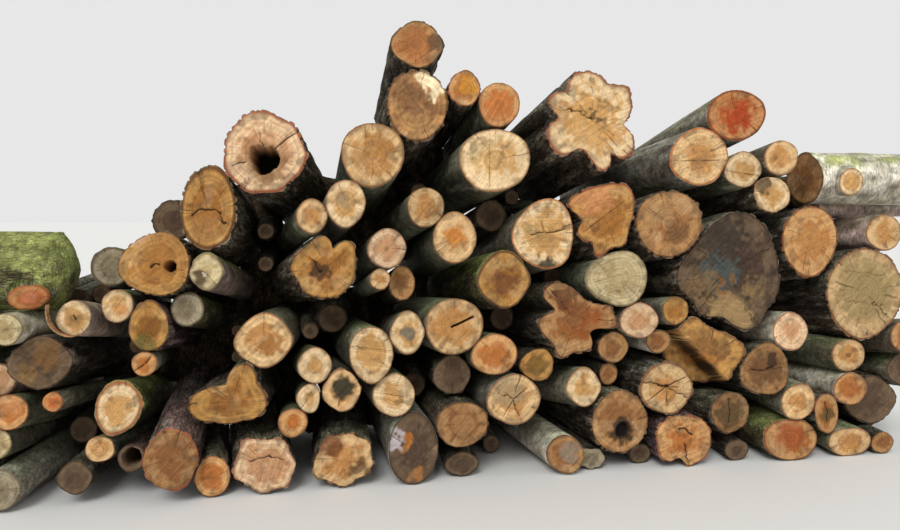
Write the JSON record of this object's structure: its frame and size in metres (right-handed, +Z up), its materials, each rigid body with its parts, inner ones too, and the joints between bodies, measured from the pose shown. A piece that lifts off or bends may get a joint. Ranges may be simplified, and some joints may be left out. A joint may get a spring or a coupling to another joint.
{
  "type": "stack of logs",
  "caption": "Stack of felled tree trunks and branches lying side by side, sawn faces to the front, with bark and rot.",
  "frame": {"origin": "middle of the stack's footprint box, on the ground", "axes": "+X along the front of the stack to the right, +Y back along the logs, +Z up; the sawn faces look to -Y"},
  "size_m": [6.2676, 1.69, 2.3861],
  "materials": {
    "birch": "sawn end grain with bark around it",
    "mossy_wood": "sawn end grain with bark around it",
    "dark_wood": "sawn end grain with bark around it",
    "orange_wood": "sawn end grain with bark around it",
    "pale_wood": "sawn end grain with bark around it"
  },
  "bodies": {
    "root": {"billets_a": "pale_wood", "billets_b": "pale_wood", "billets_c": "pale_wood", "billets_d": "pale_wood", "billets_e": "pale_wood", "billets_f": "pale_wood", "billets_g": "pale_wood", "billets_h": "pale_wood", "billets_i": "pale_wood", "billets_j": "pale_wood", "birch_trunk": "birch", "bone_butt": "orange_wood", "bright_orange_round": "orange_wood", "broad_heartwood": "pale_wood", "broken_butt": "pale_wood", "brown_butt": "pale_wood", "brown_oval": "pale_wood", "cracked_round": "pale_wood", "cream_drop": "pale_wood", "cream_teardrop": "pale_wood", "crossed_kerf": "pale_wood", "crumbling_butt": "pale_wood", "dark_brown_butt": "dark_wood", "dark_butt": "dark_wood", "dark_heart_egg": "pale_wood", "flat_log": "pale_wood", "giant_butt": "dark_wood", "grass_edge_log": "pale_wood", "grey_side_round": "pale_wood", "ground_log_left": "pale_wood", "hole_log": "pale_wood", "hollow_trunk": "pale_wood", "leaning_log": "dark_wood", "moss_edge_butt": "mossy_wood", "moss_side_log": "mossy_wood", "mossy_trunk": "mossy_wood", "mottled_round": "pale_wood", "notched_butt": "pale_wood", "orange_round": "orange_wood", "oval_crescent": "pale_wood", "pale_green_round": "pale_wood", "pink_pole": "birch", "pointed_orange": "pale_wood", "red_orange_round": "orange_wood", "rot_heart_butt": "dark_wood", "rotten_brown": "pale_wood", "rotten_ring": "pale_wood", "seam_round": "pale_wood", "shadow_log": "dark_wood", "slit_round": "pale_wood", "speckled_cream": "pale_wood", "split_end_birch": "birch", "split_slab": "pale_wood", "square_butt": "orange_wood", "star_butt": "pale_wood", "tall_egg": "pale_wood", "tan_double": "pale_wood", "tan_round": "pale_wood", "top_log": "pale_wood", "weathered_round": "pale_wood"}
  },
  "joints": []
}
